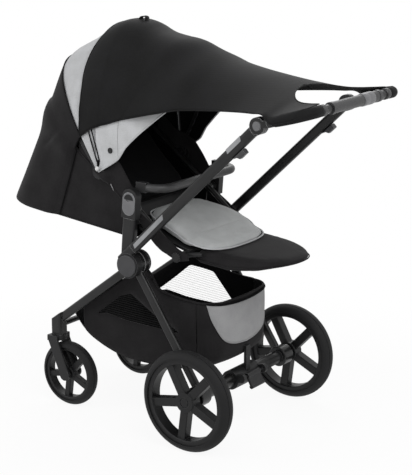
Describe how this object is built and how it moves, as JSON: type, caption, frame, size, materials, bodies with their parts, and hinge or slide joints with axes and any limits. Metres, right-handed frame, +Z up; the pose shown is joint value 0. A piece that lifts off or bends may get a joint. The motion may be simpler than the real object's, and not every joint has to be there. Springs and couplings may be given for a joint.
{
  "type": "baby stroller",
  "caption": "Folding baby stroller with a reversible seat facing the handle, domed hood, stretched sun sail, swivel front casters and a cloth shopping basket.",
  "frame": {"origin": "on the floor under the middle of the whole stroller", "axes": "+Z up, +Y towards the handle, +X towards the left side as it is pushed"},
  "size_m": [0.581, 1.1004, 1.1475],
  "materials": {
    "tube": "matt charcoal powder coat",
    "black_plastic": "fine matt moulding",
    "grey_button": "satin grey",
    "tyre": "matt foam tyre",
    "rim": "fine matt moulding",
    "grip": "grained black cover",
    "black_fabric": "plain weave",
    "grey_fabric": "heathered weave",
    "sail_fabric": "stretch knit"
  },
  "bodies": {
    "stroller_frame": {"push_tube_left": "tube", "push_tube_right": "tube", "fold_hub_left": "black_plastic", "fold_hub_right": "black_plastic", "hub_caps": "black_plastic", "hub_inner_discs": "black_plastic", "seat_posts": "black_plastic", "seat_adaptors": "black_plastic", "handle_joints": "black_plastic", "seat_frame": "tube", "leg_rest_knobs": "black_plastic", "seat_tub": "black_fabric", "seat_board": "black_plastic", "seat_pad": "grey_fabric", "harness_buckle": "black_plastic", "bumper_sockets": "black_plastic", "hood_hinges": "black_plastic", "hood_rear_bow": "black_plastic", "hood_mid_bow": "black_plastic", "hood_rear_fabric": "grey_fabric", "sun_sail": "sail_fabric", "basket": "black_fabric", "basket_pocket": "grey_fabric"},
    "front_legs": {"front_leg_left": "tube", "front_leg_right": "tube", "caster_barrels": "black_plastic", "front_cross_tube": "tube"},
    "rear_legs": {"rear_leg_left": "tube", "rear_leg_right": "tube", "rear_axle": "tube", "brake_housing": "black_plastic"},
    "rear_wheel_left": {"rear_tyre_left": "tyre", "rear_rim_left": "rim"},
    "rear_wheel_right": {"rear_tyre_right": "tyre", "rear_rim_right": "rim"},
    "caster_left": {"caster_fork_left": "black_plastic"},
    "caster_right": {"caster_fork_right": "black_plastic"},
    "front_wheel_left": {"front_tyre_left": "tyre", "front_rim_left": "rim"},
    "front_wheel_right": {"front_tyre_right": "tyre", "front_rim_right": "rim"},
    "handle": {"handle_bar": "tube", "handle_grip": "grip", "grip_collars": "grey_button"},
    "tilt_button_left": {"handle_button_left": "grey_button"},
    "tilt_button_right": {"handle_button_right": "grey_button"},
    "fold_slider_left": {"fold_tab_left": "black_plastic"},
    "fold_slider_right": {"fold_tab_right": "black_plastic"},
    "release_left": {"seat_release_button_left": "grey_button"},
    "release_right": {"seat_release_button_right": "grey_button"},
    "hood_front": {"hood_front_bow": "black_plastic", "hood_front_fabric": "grey_fabric"},
    "backrest": {"backrest_board": "black_plastic", "backrest_pad": "black_fabric", "shoulder_straps": "black_fabric"},
    "leg_support": {"leg_rest": "black_fabric", "leg_rest_pad": "grey_fabric"},
    "bumper": {"bumper_bar": "tube"},
    "pedal": {"brake_pedal": "black_plastic"}
  },
  "joints": [
    {"name": "rear_leg_fold", "type": "hinge", "parent": "stroller_frame", "child": "rear_legs", "pos_m": [0, -0.0442, 0.488], "axis": [1, 0, 0], "range_deg": [-20, 0]},
    {"name": "front_leg_fold", "type": "hinge", "parent": "stroller_frame", "child": "front_legs", "pos_m": [0, -0.0442, 0.488], "axis": [1, 0, 0], "range_deg": [0, 25]},
    {"name": "rear_wheel_spin_left", "type": "hinge", "parent": "rear_legs", "child": "rear_wheel_left", "pos_m": [0.2665, 0.1838, 0.145], "axis": [1, 0, 0], "continuous": true},
    {"name": "caster_swivel_left", "type": "hinge", "parent": "front_legs", "child": "caster_left", "pos_m": [0.168, -0.3582, 0.24], "axis": [0, 0, 1], "continuous": true},
    {"name": "front_wheel_spin_left", "type": "hinge", "parent": "caster_left", "child": "front_wheel_left", "pos_m": [0.168, -0.3182, 0.098], "axis": [1, 0, 0], "continuous": true},
    {"name": "rear_wheel_spin_right", "type": "hinge", "parent": "rear_legs", "child": "rear_wheel_right", "pos_m": [-0.2665, 0.1838, 0.145], "axis": [1, 0, 0], "continuous": true},
    {"name": "caster_swivel_right", "type": "hinge", "parent": "front_legs", "child": "caster_right", "pos_m": [-0.168, -0.3582, 0.24], "axis": [0, 0, 1], "continuous": true},
    {"name": "front_wheel_spin_right", "type": "hinge", "parent": "caster_right", "child": "front_wheel_right", "pos_m": [-0.168, -0.3182, 0.098], "axis": [1, 0, 0], "continuous": true},
    {"name": "handle_tilt", "type": "hinge", "parent": "stroller_frame", "child": "handle", "pos_m": [0, 0.38337, 0.92664], "axis": [1, 0, 0], "range_deg": [-25, 30], "deforming": ["sun_sail"]},
    {"name": "handle_button_press_left", "type": "slide", "parent": "handle", "child": "tilt_button_left", "axis": [-1, 0, 0], "range_m": [0, 0.003], "stiffness_N_per_m": 300},
    {"name": "fold_tab_pull_left", "type": "slide", "parent": "stroller_frame", "child": "fold_slider_left", "axis": [0, 0.7278, 0.6858], "range_m": [0, 0.012], "stiffness_N_per_m": 150},
    {"name": "seat_release_press_left", "type": "slide", "parent": "stroller_frame", "child": "release_left", "axis": [-1, 0, 0], "range_m": [0, 0.003], "stiffness_N_per_m": 300},
    {"name": "handle_button_press_right", "type": "slide", "parent": "handle", "child": "tilt_button_right", "axis": [1, 0, 0], "range_m": [0, 0.003], "stiffness_N_per_m": 300},
    {"name": "fold_tab_pull_right", "type": "slide", "parent": "stroller_frame", "child": "fold_slider_right", "axis": [0, 0.7278, 0.6858], "range_m": [0, 0.012], "stiffness_N_per_m": 150},
    {"name": "seat_release_press_right", "type": "slide", "parent": "stroller_frame", "child": "release_right", "axis": [1, 0, 0], "range_m": [0, 0.003], "stiffness_N_per_m": 300},
    {"name": "hood_fold", "type": "hinge", "parent": "stroller_frame", "child": "hood_front", "pos_m": [0, -0.1732, 0.733], "axis": [1, 0, 0], "range_deg": [0, 22], "deforming": ["sun_sail", "hood_front_fabric"]},
    {"name": "backrest_recline", "type": "hinge", "parent": "stroller_frame", "child": "backrest", "pos_m": [0, -0.08499, 0.58844], "axis": [1, 0, 0], "range_deg": [0, 20]},
    {"name": "leg_rest_tilt", "type": "hinge", "parent": "stroller_frame", "child": "leg_support", "pos_m": [0, 0.0888, 0.522], "axis": [1, 0, 0], "range_deg": [-30, 0]},
    {"name": "bumper_swing", "type": "hinge", "parent": "stroller_frame", "child": "bumper", "pos_m": [-0.184, -0.0282, 0.706], "axis": [0, 0, 1], "range_deg": [0, 55]},
    {"name": "brake_press", "type": "hinge", "parent": "rear_legs", "child": "pedal", "pos_m": [0, 0.2218, 0.157], "axis": [1, 0, 0], "range_deg": [-18, 0]}
  ],
  "couplings": [
    {"joint": "front_leg_fold", "follows": "rear_leg_fold", "ratio": -1.25}
  ]
}
